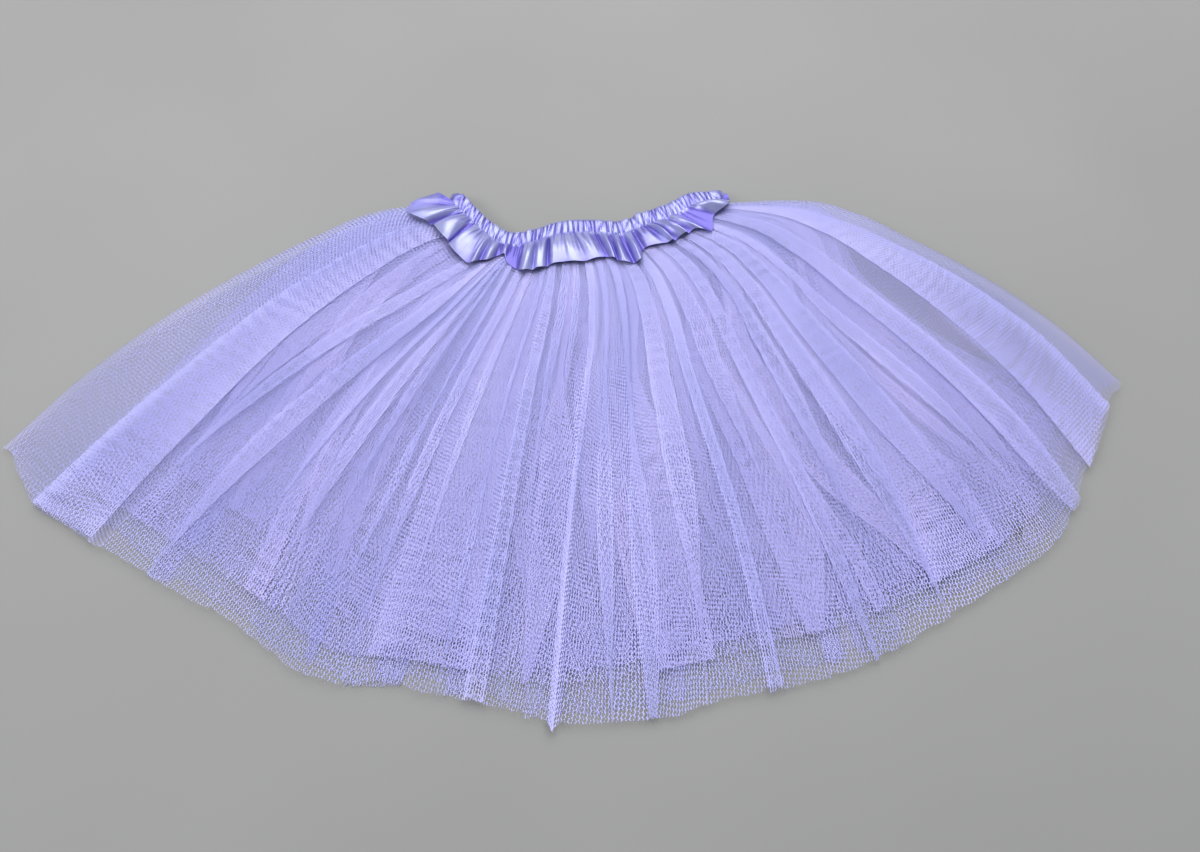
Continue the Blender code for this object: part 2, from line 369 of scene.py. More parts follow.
def grid_mesh(name, points, material, close_across, uv, values):
    """A mesh from a grid of points, rows by columns, with a UV in cloth metres and values by vertex."""
    rows, columns = points.shape[:2]
    step = columns if close_across else columns - 1
    above = np.arange(rows - 1)[:, None] * columns
    here = np.arange(step)[None, :]
    beside = (here + 1) % columns
    faces = np.stack([above + here, above + columns + here, above + columns + beside, above + beside], -1)
    faces = faces.reshape(-1, 4)
    mesh = bpy.data.meshes.new(name)
    mesh.from_pydata(points.reshape(-1, 3).tolist(), [], faces.tolist())
    mesh.shade_smooth()
    mesh.materials.append(material)
    layer = mesh.uv_layers.new(name="Cloth")
    row = np.repeat(np.arange(rows - 1), step)
    column = np.tile(np.arange(step), rows - 1)
    corners = [(row, column), (row + 1, column), (row + 1, column + 1), (row, column + 1)]
    data = np.stack([uv[r, c] for r, c in corners], 1)
    layer.data.foreach_set("uv", data.astype(np.float32).ravel())
    for key, value in values.items():
        attribute = mesh.attributes.new(key, "FLOAT", "POINT")
        attribute.data.foreach_set("value", value.astype(np.float32).ravel())
    piece = bpy.data.objects.new(name, mesh)
    bpy.context.scene.collection.objects.link(piece)
    return piece


class Nodes:
    """A short way to write a material's node tree."""

    def __init__(self, name):
        self.material = bpy.data.materials.new(name)
        self.material.use_nodes = True
        self.tree = self.material.node_tree
        self.shader = self.tree.nodes["Principled BSDF"]

    def add(self, kind, operation=None, **inputs):
        node = self.tree.nodes.new(kind)
        if operation:
            node.operation = operation
        for key, value in inputs.items():
            self.set(node, int(key[1:]) if key[0] == "i" and key[1:].isdigit() else key, value)
        return node

    def set(self, node, key, value):
        socket = node.inputs[key.replace("_", " ") if isinstance(key, str) else key]
        if isinstance(value, bpy.types.NodeSocket):
            self.tree.links.new(value, socket)
        else:
            socket.default_value = value

    def set_shader(self, **values):
        for key, value in values.items():
            self.set(self.shader, key, value)

    def math(self, operation, first, second=0.0, third=0.0):
        return self.add("ShaderNodeMath", operation, i0=first, i1=second, i2=third).outputs[0]

    def noise(self, vector, scale):
        node = self.add("ShaderNodeTexNoise", Scale=scale)
        self.set(node, "Vector", vector)
        return node.outputs["Fac"]

    def remap(self, value, low, high, start=0.0, end=1.0):
        node = self.add("ShaderNodeMapRange", i0=value, i1=low, i2=high, i3=start, i4=end)
        node.clamp = True
        return node.outputs[0]

    def blend(self, share, first, second):
        node = self.add("ShaderNodeMix")
        node.data_type = "RGBA"
        self.tree.links.new(share, node.inputs["Factor"])
        node.inputs[6].default_value = first
        node.inputs[7].default_value = second
        return node.outputs[2]

    def uv(self):
        node = self.tree.nodes.new("ShaderNodeUVMap")
        node.uv_map = "Cloth"
        return node.outputs[0]

    def attribute(self, name):
        node = self.tree.nodes.new("ShaderNodeAttribute")
        node.attribute_name = name
        return node.outputs["Fac"]

    def place(self):
        return self.tree.nodes.new("ShaderNodeTexCoord").outputs["Object"]


# The net: its cells, how much stronger its upright threads are, where threads begin on the sum of the
# waves and how softly, and how crowding widens them. Plain net is about a fifth covered
CELL_WIDTH = 0.0017
CELL_HEIGHT = 0.0014
UPRIGHT_THREADS = 1.2
THREAD_EDGE = -1.16
THREAD_SOFTNESS = 0.05
CROWDED_THREADS = 0.30

# Fine slanting lines in which threads stand closer: the cells from one to the next, and how much closer
SLANT_CELLS_WIDE = 2.6
SLANT_CELLS_HIGH = 6.8
SLANT_CROWD = 0.20

# The net's colours, darker and lighter: random drift moves between them, and folds and fold edges are drawn
# towards the lighter one as painted light
LILAC_NET = ((0.35, 0.365, 0.77, 1.0), (0.52, 0.50, 0.92, 1.0))
PINKER_NET = ((0.37, 0.37, 0.77, 1.0), (0.53, 0.48, 0.88, 1.0))
SHEEN = (0.88, 0.88, 1.0, 1.0)


def net_material(name, cool, lit_fold_colour):
    """Sheer net: crossed waves give its threads, which crowd where the cloth is gathered; its colour is
    painted lighter on folds and fold edges.
    """
    nodes = Nodes(name)
    split = nodes.add("ShaderNodeSeparateXYZ", i0=nodes.uv())
    u = nodes.math("MULTIPLY", split.outputs[0], 2 * math.pi / CELL_WIDTH)
    half_u = nodes.math("MULTIPLY", split.outputs[0], math.pi / CELL_WIDTH)
    v = nodes.math("MULTIPLY", split.outputs[1], math.pi / CELL_HEIGHT)
    upright = nodes.math("MULTIPLY", nodes.math("COSINE", u), UPRIGHT_THREADS)
    rising = nodes.math("COSINE", nodes.math("ADD", half_u, v))
    falling = nodes.math("COSINE", nodes.math("SUBTRACT", half_u, v))
    slant_u = nodes.math("DIVIDE", u, SLANT_CELLS_WIDE)
    slant_v = nodes.math("DIVIDE", v, SLANT_CELLS_HIGH / 2)
    slanting = nodes.math("MULTIPLY", nodes.math("SINE", nodes.math("ADD", slant_u, slant_v)), SLANT_CROWD)
    crossed = nodes.math("ADD", upright, nodes.math("ADD", rising, falling))
    total = nodes.math("ADD", crossed, slanting)
    crowded = nodes.math("MULTIPLY_ADD", nodes.attribute("crowd"), -CROWDED_THREADS, total)
    threads = nodes.remap(crowded, THREAD_EDGE + THREAD_SOFTNESS, THREAD_EDGE - THREAD_SOFTNESS)
    # Its colour: random drifting tone, with painted light on folds, fold edges and the seam
    colour = nodes.blend(nodes.attribute("tone_and_fold_light"), cool, lit_fold_colour)
    nodes.set_shader(Alpha=threads, Base_Color=colour, Roughness=0.60)
    nodes.set_shader(Sheen_Weight=0.30, Sheen_Roughness=0.45, Sheen_Tint=SHEEN)
    return nodes.material


# Satin: how much finer its weave is along the strip than down it, then its weave and its clouds
WEAVE_STRETCH = 9.0
WEAVE_SCALE = 700.0
WEAVE_RANGE = (0.3, 0.7)
CLOUD_SCALE = 90.0
CLOUD_RANGE = (0.35, 0.65)
CLOUD_DEPTH = 0.25

# Its own colour on top and a painted shade deep in a fold, and its roughness at the weave's low and high
SATIN_LIGHT = (0.35, 0.37, 0.65, 1.0)
SATIN_PAINTED_SHADE = (0.11, 0.09, 0.42, 1.0)
SATIN_ROUGHNESS = (0.27, 0.39)


def satin_material(name):
    """Glossy satin: smooth, with a faint weave, with painted shade in its folds and creases and random
    clouds of deeper colour.
    """
    nodes = Nodes(name)
    split = nodes.add("ShaderNodeSeparateXYZ", i0=nodes.uv())
    along = nodes.math("MULTIPLY", split.outputs[0], WEAVE_STRETCH)
    stretched = nodes.add("ShaderNodeCombineXYZ", i0=along, i1=split.outputs[1]).outputs[0]
    weave = nodes.noise(stretched, WEAVE_SCALE)
    cloud = nodes.remap(nodes.noise(nodes.place(), CLOUD_SCALE), *CLOUD_RANGE, 0.0, CLOUD_DEPTH)
    # Painted shade from the pieces' folds and creases, with random clouds of deeper colour
    depth = nodes.math("ADD", nodes.attribute("painted_shade"), cloud)
    depth.node.use_clamp = True
    bump = nodes.add("ShaderNodeBump", Strength=0.10, Distance=0.0002, Height=weave)
    roughness = nodes.remap(weave, *WEAVE_RANGE, *SATIN_ROUGHNESS)
    nodes.set_shader(Base_Color=nodes.blend(depth, SATIN_LIGHT, SATIN_PAINTED_SHADE), Roughness=roughness)
    nodes.set_shader(Metallic=0.45, Specular_IOR_Level=0.6, Normal=bump.outputs[0])
    return nodes.material


PLEAT_COLUMNS = "waist upper lower hem half begins ends lean height".split()
PLACES = 4


def as_rows(pleats):
    return np.array([pleats[key] for key in PLEAT_COLUMNS]).T


def as_pleats(rows):
    """Pleats by column name again, from left to right."""
    ordered = sorted(rows, key=lambda row: row[1])
    return dict(zip(PLEAT_COLUMNS, np.array(ordered).T))


def pleat_places(rows, down):
    """Where each of these folds lies across, at this share of the way down."""
    places = np.stack([rows[key] for key in PLEAT_COLUMNS[:PLACES]])
    line = {"down": np.array(PLEAT_DOWN)}
    return np.array([read({**line, "at": places[:, i]}, "at", down) for i in range(places.shape[1])])


# Small folds between the main ones: how far they keep off those at the four places, in halves of an
# overlap, the share of a pitch that stays free and how unevenly they are spaced
KEEP_OFF = np.array([0.4, 1.0, 1.0, 1.0])
FREE_PITCH = 0.3
UNEVEN_PITCH = 0.6

# Their size, where they begin and how long they are, each as the least and how much more there may be,
# and what is added to the size for their height
SMALL_SIZE = (0.4, 1.6)
SMALL_BEGINS = (0.0, 0.7)
SMALL_LENGTH = (0.2, 0.5)
SMALL_HIGHER = 0.4


def with_small_pleats(rows, pitch, half, height, seed):
    """The same folds with small uneven ones put in the spaces between them."""
    draw = np.random.default_rng(seed)
    given = as_rows(rows)
    others = [0.0] * (len(PLEAT_COLUMNS) - PLACES)
    bounds = [np.array([-1.0] * PLACES + others), *given, np.array([1.0] * PLACES + others)]
    filled = []
    for first, second in zip(bounds[:-1], bounds[1:]):
        start = first[:PLACES] + first[PLACES] * KEEP_OFF
        end = second[:PLACES] - second[PLACES] * KEEP_OFF
        room = (end - start)[1:].mean()
        count = max(int(room / pitch - FREE_PITCH), 0)
        for n in range(count):
            share = (n + 1 + UNEVEN_PITCH * (draw.random() - 0.5)) / (count + 1)
            places = mix(start, end, share)
            if any(low < places[2] < high for low, high in PLAIN_PLACES):
                continue
            lean = 1.0 if draw.random() > 0.5 else -1.0
            size = between(SMALL_SIZE, draw.random() ** 2)
            begins = between(SMALL_BEGINS, draw.random())
            ends = begins + between(SMALL_LENGTH, draw.random())
            filled.append([*places, half * size, begins, ends, lean, height * (SMALL_HIGHER + size)])
    return as_pleats([*given.tolist(), *filled])


# Folds that are only seeded: their steps, how far they wander in pitches, then as for the small ones
SEEDED_STEP = (0.45, 1.1)
SEEDED_BEND = 0.25
SEEDED_SIZE = (0.35, 1.7)
SEEDED_BEGINS = (0.0, 0.5)
SEEDED_LENGTH = (0.3, 0.7)


def seeded_pleats(pitch, half, height, seed, reach=(-0.98, 0.98)):
    """Uneven folds for a layer or side that isn't known fold by fold."""
    draw = np.random.default_rng(seed)
    count = int((reach[1] - reach[0]) / pitch)
    steps = between(SEEDED_STEP, draw.random(count + 1))
    middle = reach[0] + (reach[1] - reach[0]) * np.cumsum(steps)[:-1] / steps.sum()
    bend = SEEDED_BEND * pitch * draw.standard_normal((PLACES, count))
    size = between(SEEDED_SIZE, draw.random(count) ** 2)
    lean = np.where(draw.random(count) > 0.5, 1.0, -1.0)
    begins = between(SEEDED_BEGINS, draw.random(count))
    ends = begins + between(SEEDED_LENGTH, draw.random(count))
    places = np.sort(middle[None, :] + bend, axis=1)
    return dict(zip(PLEAT_COLUMNS, np.vstack([places, half * size, begins, ends, lean, height * size])))


BROAD_CLEAR = 0.02


def with_broad_folds(rows, broad):
    """Seeded folds with broad ones among them, in place of those that the broad ones cover."""
    wide = as_rows(broad)
    clear = wide[:, PLACES] + BROAD_CLEAR
    free = [row for row in as_rows(rows) if np.all(np.abs(row[1] - wide[:, 1]) > clear)]
    return as_pleats([*free, *wide])


# One fold across its cloth, in halves of its overlap, in roundings of its edge and in gaps of its plies:
# up over the two plies below, round the edge, back between them, round again and on
PLEAT_SHAPE = table(
    "along turn height",
    (-1.00, -1.6, 0.00),
    (-1.00, -0.4, 1.20),
    (-0.60, 0.0, 2.10),
    (0.30, 0.0, 2.10),
    (1.00, -0.9, 2.05),
    (1.00, -0.2, 1.85),
    (1.00, 0.0, 1.50),
    (1.00, -0.3, 1.12),
    (1.00, -0.9, 1.00),
    (0.30, 0.0, 1.00),
    (-0.40, 0.0, 1.00),
    (-1.00, 0.9, 0.95),
    (-1.00, 0.2, 0.80),
    (-1.00, 0.0, 0.50),
    (-1.00, 0.3, 0.12),
    (-1.00, 0.9, 0.00),
    (-0.20, 0.0, 0.00),
    (0.60, 0.0, 0.00),
)
PLAIN_COLUMNS = 6
EDGE_ROUND = 0.0006
PLY_GAP = 0.00036

# How far before and after its place on the way down a fold opens, and fades
OPENS = (0.15, 0.05)
FADES = (0.35, 0.06)

# The share of the room beside it that a gathered fold takes, and the most for a small one
GATHERED_ROOM = 0.40
MOST_ROOM = 0.46

# The least half overlap, and the one from which a fold's plies lie at their full height
LEAST_HALF = 0.0006
FULL_HALF = 0.006

# The low ridge under a fold: its width, how that widens with the overlap, its share of height where
# the fold is closed, and the strip at the side folds in which it falls away
RIDGE_WIDTH = 0.020
RIDGE_SPREAD = 0.6
CLOSED_RIDGE = 0.35
RIDGE_FALL = 0.03

# Where cloth counts as folded, for the light painted on folds: its width, how that widens, and how many
# full halves make it whole
FOLD_LIGHT_WIDTH = 0.008
FOLD_LIGHT_SPREAD = 0.9
WHOLE_FOLD = 3.0

# The bright line along a fold's edge, from its threads crowding and from painted light: half its width, its
# crowding and how soon it fades
LINE_HALF = 0.0008
LINE_CROWD = 1.9
LINE_FADE = 1.5


def bells(across, at, width):
    """1 where a column lies at a place, falling away over the width."""
    return np.exp(-((across[:, None] - at[None, :]) / width) ** 2)


def overlaps(rows, at, down, gather):
    """Half of each fold's overlap at this row, and how strongly its edges are drawn."""
    edges = np.concatenate([[-1.0], at, [1.0]])
    room = np.minimum(np.diff(edges)[:-1], np.diff(edges)[1:])
    begun = ease(down, rows["begins"] - OPENS[0], rows["begins"] + OPENS[1])
    fading = ease(down, rows["ends"] - FADES[0], rows["ends"] + FADES[1])
    laid = rows["half"] * begun * (1.0 - fading)
    half = laid + (GATHERED_ROOM * room - laid) * gather
    half = np.maximum(np.minimum(half, np.maximum(MOST_ROOM * room, laid)), LEAST_HALF)
    return half, begun * (1.0 - fading) ** LINE_FADE


def lay_folds(rows, at, half, shown, rounding, ply_gap):
    """The row's columns, fold by fold with plain cloth between them: where each lies, and its height."""
    across, height = [-1.0], [0.0]
    previous = -1.0
    for i, place in enumerate(at):
        along = PLEAT_SHAPE["along"] * half[i] + PLEAT_SHAPE["turn"] * rounding[i]
        lift = PLEAT_SHAPE["height"] * ply_gap * shown[i]
        if rows["lean"][i] < 0:
            along = -along[::-1]
            lift = lift[::-1]
        places = place + along
        across.extend(spread(previous, places[0], PLAIN_COLUMNS + 2)[1:-1])
        height.extend([0.0] * PLAIN_COLUMNS)
        across.extend(places)
        height.extend(lift)
        previous = places[-1]
    across.extend(spread(previous, 1.0, PLAIN_COLUMNS + 2)[1:])
    height.extend([0.0] * (PLAIN_COLUMNS + 1))
    return np.array(across), np.array(height)


def cloth_row(rows, down, half_arc, gather, ply_gap, ridge_share):
    """One row of cloth from left to right: where each column lies across, its height, how near it is to a
    fold, which gets painted light, and how near to the line where a fold turns, from 0 to 1."""
    at = pleat_places(rows, down)
    half, drawn = overlaps(rows, at, down, gather)
    shown = np.minimum(half / FULL_HALF, 1.0)
    rounding = np.minimum(EDGE_ROUND / half_arc, half / 2)
    across, height = lay_folds(rows, at, half, shown, rounding, ply_gap)
    ridge_height = rows["height"] * mix(CLOSED_RIDGE, 1.0, shown)
    ridges = (bells(across, at, RIDGE_WIDTH + RIDGE_SPREAD * half) * ridge_height).sum(1)
    fall = ease(1.0 - np.abs(across), 0.0, RIDGE_FALL)
    whole = np.minimum(half / FULL_HALF, WHOLE_FOLD) / WHOLE_FOLD
    fold_light = (bells(across, at, FOLD_LIGHT_WIDTH + FOLD_LIGHT_SPREAD * half) * shown * whole).sum(1)
    turns = np.concatenate([at - half, at + half])
    lined = (bells(across, turns, LINE_HALF / half_arc) * np.tile(shown * drawn, 2)).sum(1)
    lined = np.clip(lined, 0.0, 1.0) * (1.0 - gather)
    return across, height + ridge_share * ridges * fall, np.clip(fold_light, 0.0, 1.0), lined


# The seam down the middle of the outer layer: where it lies, half its width across, how much closer its
# threads stand and how far its end hangs below the hem
SEAM = table(
    "down across",
    (0.00, 0.010),
    (0.21, 0.008),
    (0.31, -0.010),
    (0.40, -0.036),
    (0.54, -0.040),
    (0.73, -0.050),
    (1.00, -0.060),
)
SEAM_HALF = 0.0040
SEAM_CROWD = 2.2
SEAM_TAB = 0.0055

# The rows of a net layer: how many, and how much closer they stand near the waist
NET_ROW_COUNT = 32
NET_ROW_POWER = 1.5
SIDE_TURNS = spread(0.0, 180.0, 11)[1:-1]

# How quickly the gathers open out, and the radius that stands for a whole row, at the waist and the hem
GATHER_POWER = 3
TYPICAL_RADIUS = (0.30, 0.67)

# The share of the gap between plies at the waist and at the hem, where these end and start, and the
# gap behind
WAIST_PLY = 0.4
WAIST_PLY_ENDS = 0.25
HEM_PLY = 0.5
HEM_PLY_STARTS = 0.7
BACK_PLY_GAP = 0.00022

# Hems: how ragged they are, and how much higher the back's is, how unevenly and how slowly that waves
HEM_RAGGED = 0.0011
BACK_HEM_HIGHER = 0.006
BACK_HEM_UNEVEN = 0.7
BACK_HEM_SLOWER = 9

# Fine streaks of height down the cloth: their height, and how much they slant
STREAK_HEIGHT = 0.00016
STREAK_SLANT = 0.004

# The step between columns for these waves, and between the seams of the layers
COLUMN_STEP = 0.0013
LAYER_SEAM_STEP = 0.0003

# The height of the outer layer's back, how much higher it starts over the ruffle and where that ends,
# and the least height of the front over the back
BACK_HEIGHT = 0.0004
BACK_LIFT = 0.0015
BACK_LIFT_ENDS = (0.12, 0.24)
LEAST_LOFT = 0.0015


def round_tube(front, back):
    """The way round a flattened tube with these columns in front and behind: across and turn."""
    ones = np.ones(len(SIDE_TURNS))
    across = np.concatenate([front, ones, back[::-1], -ones])
    turn = np.radians(np.concatenate([0 * front, SIDE_TURNS, 180 + 0 * back, SIDE_TURNS[::-1]]))
    return across, turn


def net_row(key, depth, pleats, back_pleats, noises, down_share):
    """One ring of a layer: its points, how much closer its threads stand, and how folded it is."""
    gather = (1.0 - down_share) ** GATHER_POWER
    typical_radius = mix(*TYPICAL_RADIUS, down_share)
    half_arc = half_angle(down_share, typical_radius) * typical_radius
    fold = read(LOFT, "fold", down_share)
    waist_ply = mix(WAIST_PLY, 1.0, ease(down_share, 0.0, WAIST_PLY_ENDS))
    hem_ply = mix(1.0, HEM_PLY, ease(down_share, HEM_PLY_STARTS, 1.0))
    ply_gap = PLY_GAP * waist_ply * hem_ply
    front, front_lift, fold_light, lined = cloth_row(pleats, down_share, half_arc, gather, ply_gap, fold)
    back, back_lift, _, _ = cloth_row(back_pleats, down_share, half_arc, gather, BACK_PLY_GAP, 0.0)
    across, turn = round_tube(front, back)
    flat = np.zeros(len(SIDE_TURNS))
    lift = np.concatenate([front_lift, flat, back_lift[::-1], flat])
    on_front = turn < math.pi / 2
    left_reach = read(REACH[key], "left", down_share)
    right_reach = read(REACH[key], "right", down_share)
    shown = across * np.where(across < 0, left_reach, right_reach)

    column = np.arange(len(across)) * COLUMN_STEP
    at_seam = np.exp(-((across - read(SEAM, "across", down_share)) / SEAM_HALF) ** 2)
    at_seam = at_seam * on_front * (depth == 0)
    shorter = read(SHORTER, key, fan_angle(shown, 1.0)) if key != "outer" else 0.0
    ragged = np.where(on_front, noises["front_hem"].at(column), noises["back_hem"].at(column)) - 1.0
    uneven = 1.0 + BACK_HEM_UNEVEN * noises["back_hem"].at(column / BACK_HEM_SLOWER)
    higher = np.where(on_front, 0.0, BACK_HEM_HIGHER * uneven)
    seam = seam_radius(shown) + SEAM_GAP + LAYER_SEAM_STEP * depth
    hem = hem_radius(shown) - shorter + HEM_RAGGED * ragged - higher + SEAM_TAB * at_seam
    radius = mix(seam, hem, down_share)
    down = (radius - seam) / (hem_radius(shown) - seam)
    x, y = in_plan(shown, radius, down, (OUTER_SIDE - SIDE_STEP * depth) * np.sin(turn))

    streaks = STREAK_HEIGHT * fold * noises["streak"].at(column + STREAK_SLANT * down_share)
    front_height = read(LOFT, "top", down) - read(LOFT, "step", down) * depth + streaks
    back_height = BACK_HEIGHT + BACK_STEP * depth + BACK_LIFT * (1 - ease(down, *BACK_LIFT_ENDS))
    height = mix(back_height, np.maximum(front_height, back_height + LEAST_LOFT), upper_share(turn))
    beyond = np.zeros(len(across) - len(front))
    cover = SEAM_CROWD * at_seam + LINE_CROWD * np.concatenate([lined, beyond])
    return np.stack([x, y, height + lift], -1), cover, np.concatenate([fold_light, beyond])


def net_layer(depth, key, pleats, back_pleats, material, seed):
    """One layer of net, gathered at the waist: a flattened tube, open at the waist and at the hem."""
    noises = {
        "front_hem": Noise(seed + 1, shortest=0.004, longest=0.16, waves=14),
        "back_hem": Noise(seed + 2, shortest=0.004, longest=0.20, waves=14),
        "streak": Noise(seed + 3, shortest=0.006, longest=0.040, waves=16),
    }
    even = spread(0.0, 1.0, NET_ROW_COUNT)
    shares = 0.5 * (even + even ** NET_ROW_POWER)
    rows = [net_row(key, depth, pleats, back_pleats, noises, share) for share in shares]
    points, cover, folds = (np.array(part) for part in zip(*rows))
    return finish_net("net_" + key, points, cover, folds, material, seed)


# How far the net's upright threads turn from straight down and the others from straight across, and
# how far they wander, so that threads of plies on each other cross
GRAIN_TURN = 0.08
GRAIN_SHEAR = 0.50
GRAIN_WANDER = 0.0004
WANDER_SLANT_U = 0.4
WANDER_SLANT_V = 0.3
WANDER_APART = 1.0

# A column's own width is the one that this share of its rows stay under
FULL_WIDTH = 0.85

# Crowding, where a row is narrower than its cloth: over how many columns, and at most how much
CROWD_COLUMNS = 25
MOST_CROWD = 3.0

# The tint, the net's random tone with painted light: its middle, how far it drifts round the cloth and down
# it, and the painted light that folds and crowding add
TINT_MIDDLE = 0.22
TINT_DRIFT = 0.16
TINT_SLANT = (0.5, 0.6)
TINT_APART = 2.0
FOLD_PAINTED_LIGHT = 0.45
CROWD_PAINTED_LIGHT = 0.10


def cloth_uv(around, along, seed):
    """The cloth's own measure in metres, round it and down it, with its grain a little off true."""
    wander = Noise(seed, shortest=0.05, longest=0.20, waves=8)
    wander_u = wander.at(along + WANDER_SLANT_U * around)
    wander_v = wander.at(around - WANDER_SLANT_V * along + WANDER_APART)
    u = around + GRAIN_TURN * along + GRAIN_WANDER * wander_u
    v = along + GRAIN_SHEAR * around + GRAIN_WANDER * wander_v
    return np.stack([u, v], -1)


def crowding(widths):
    """How much narrower the cloth is here than where its column is widest."""
    window = np.ones(CROWD_COLUMNS) / CROWD_COLUMNS
    count = widths.shape[1]
    smooth = np.array([np.convolve(np.tile(row, 3), window, "same")[count:2 * count] for row in widths])
    return np.clip(smooth.max(0)[None, :] / smooth - 1.0, 0.0, MOST_CROWD)


def finish_net(name, points, cover, folds, material, seed):
    """Makes the piece from a tube's points, with its cloth's own measure, its tone with painted light on
    its folds, and its crowding.
    """
    closed = np.concatenate([points, points[:, :1]], 1)
    widths = np.linalg.norm(np.diff(closed, axis=1), axis=2)
    around = np.concatenate([[0.0], np.cumsum(np.quantile(widths, FULL_WIDTH, axis=0))])
    lengths = np.linalg.norm(np.diff(points, axis=0), axis=2).mean(1)
    along = np.concatenate([[0.0], np.cumsum(lengths)])
    around, along = np.broadcast_arrays(around[None, :], along[:, None])
    uv = cloth_uv(around, along, seed + 4)
    shade = Noise(seed + 5, shortest=0.03, longest=0.35, waves=10)
    slanting = TINT_SLANT[0] * around[:, :-1] + TINT_SLANT[1] * along[:, :-1] + TINT_APART
    tone_and_fold_light = TINT_MIDDLE + TINT_DRIFT * (shade.at(around[:, :-1]) + shade.at(slanting))
    # Painted light: lighter where the cloth is folded and where its threads crowd at fold edges and the
    # seam
    tone_and_fold_light = tone_and_fold_light + FOLD_PAINTED_LIGHT * folds + CROWD_PAINTED_LIGHT * cover
    values = {"crowd": crowding(widths) + cover, "tone_and_fold_light": np.clip(tone_and_fold_light, 0.0, 1.0)}
    return grid_mesh(name, points, material, True, uv, values)


# Gathers: their steps and their size, each as the least and how much more there may be, the least room
# of one, how rounded it is, the height of cloth without any and the depth of a gather that has ended
GATHER_STEP = (0.45, 1.1)
GATHER_SIZE = (0.55, 0.45)
GATHER_LEAST_ROOM = 0.0004
GATHER_ROUND = 0.55
GATHER_PLAIN = 0.75
GATHER_LEAST_DEPTH = 0.35

# The share of gathers that end on the way down, how much of them goes and where, and the share over
# which they begin there, and where
ENDING_SHARE = 0.3
ENDING_LOSS = 0.8
ENDING_PLACES = (0.1, 1.0)
STARTING_SHARE = 0.6
STARTING_PLACES = (0.0, 0.9)


def pillows(path, length, pitch, seed, slant_size):
    """Uneven gathers along a closed path, as a function of the share down the band: rounded ridges
    with sharp creases between them, from 0 in a crease to about 1."""
    draw = np.random.default_rng(seed)
    count = int(length / pitch)
    steps = between(GATHER_STEP, draw.random(count))
    places = np.cumsum(steps) * length / steps.sum()
    slant = slant_size * draw.standard_normal(count)
    size = between(GATHER_SIZE, draw.random(count))
    fade = draw.random(count)
    turns = np.concatenate([places - length, places, places + length])
    slants, sizes, fades = np.tile(slant, 3), np.tile(size, 3), np.tile(fade, 3)

    def at(share):
        creases = np.maximum.accumulate(turns + slants * (share - 0.5))
        i = np.clip(np.searchsorted(creases, path, side="right"), 1, len(creases) - 1)
        room = np.maximum(creases[i] - creases[i - 1], GATHER_LEAST_ROOM)
        f = np.clip((path - creases[i - 1]) / room, 0.0, 1.0)
        ridge = (4 * f * (1 - f)) ** GATHER_ROUND * np.sqrt(room / pitch)
        ending = np.where(fades[i] < ENDING_SHARE, 1 - ENDING_LOSS * ease(share, *ENDING_PLACES), 1.0)
        depth = np.where(fades[i] > STARTING_SHARE, ease(share, *STARTING_PLACES), ending)
        return mix(GATHER_PLAIN, ridge * sizes[i], mix(GATHER_LEAST_DEPTH, 1.0, depth))

    return at


LEAST_STEP = 0.0003


def path_length(across, turn, radius, reach):
    """How far along a closed path each point lies, and its whole length."""
    x, y = in_plan(across, radius, 0.0, reach * np.sin(turn))
    steps = np.maximum(np.hypot(np.diff(x, append=x[0]), np.diff(y, append=y[0])), LEAST_STEP)
    return np.concatenate([[0.0], np.cumsum(steps)[:-1]]), steps.sum()


def satin_grid(name, points, painted_shade, material, length, closed):
    """A satin piece from its grid, with its UV in metres along the strip and its painted shade."""
    ring = np.concatenate([points, points[:, :1]], 1) if closed else points
    widths = np.linalg.norm(np.diff(ring, axis=1), axis=2).max(0)
    around = np.concatenate([[0.0], np.cumsum(widths)])
    along = spread(0.0, length, len(points))
    uv = np.stack(np.broadcast_arrays(around[None, :], along[:, None]), -1)
    return grid_mesh(name, points, material, closed, uv, {"painted_shade": painted_shade})


# The casing: its columns each side, its thickness, its heights behind and in front, the length of its
# strip round the loop and its least height
CASING_COLUMNS = 900
CASING_THICKNESS = 0.0030
CASING_HEIGHTS = (0.0004, 0.0099)
CASING_STRIP = 0.034
LEAST_HEIGHT = 0.0001

# Its gathers: their pitch, height and slant, how many fine ones there are to each and how strong those
# are, the middle of a gather's height, how full the band stands, and how flat it lies behind
GATHER_PITCH = 0.0042
GATHER_HEIGHT = 0.0019
GATHER_SLANT = 0.0035
FINE_GATHERS = 2.4
FINE_SLANT = 0.0015
FINE_STRENGTH = 0.28
GATHER_MIDDLE = 0.55
CROWN_HEIGHT = 0.0008
MOST_BEHIND = 0.0002

# How uneven its top edge is, down to which share and how much less so inside the band
TOP_UNEVEN = 0.0012
TOP_UNEVEN_ENDS = 0.35
TOP_INSIDE = 0.5

# Painted shade in the creases: the fine gathers' part in a crease, and its heights from the deepest painted
# shade to none
CREASE_FINE = 0.25
CREASE_PAINTED_SHADE_RANGE = (0.30, 0.92)

# The loop of the folded band: the share from its top edge to the seam, how far through its thickness,
# how full it stands, and how deep its gathers are
CASING_LOOP = table(
    "share through crown gather",
    (1.06, 0.05, -0.4, 0.30),
    (1.00, 0.00, 0.0, 0.55),
    (0.93, 0.00, 0.3, 0.80),
    (0.82, 0.00, 0.6, 1.00),
    (0.68, 0.00, 0.9, 1.00),
    (0.52, 0.00, 1.0, 1.00),
    (0.36, 0.00, 0.9, 1.00),
    (0.22, 0.00, 0.6, 1.00),
    (0.11, 0.03, 0.3, 1.00),
    (0.03, 0.12, 0.1, 0.90),
    (-0.02, 0.30, 0.0, 0.70),
    (-0.03, 0.52, 0.0, 0.45),
    (0.01, 0.80, 0.0, 0.25),
    (0.08, 0.97, 0.0, 0.10),
    (0.30, 1.00, 0.0, 0.0),
    (0.65, 1.00, 0.0, 0.0),
    (1.00, 1.00, 0.0, 0.0),
)


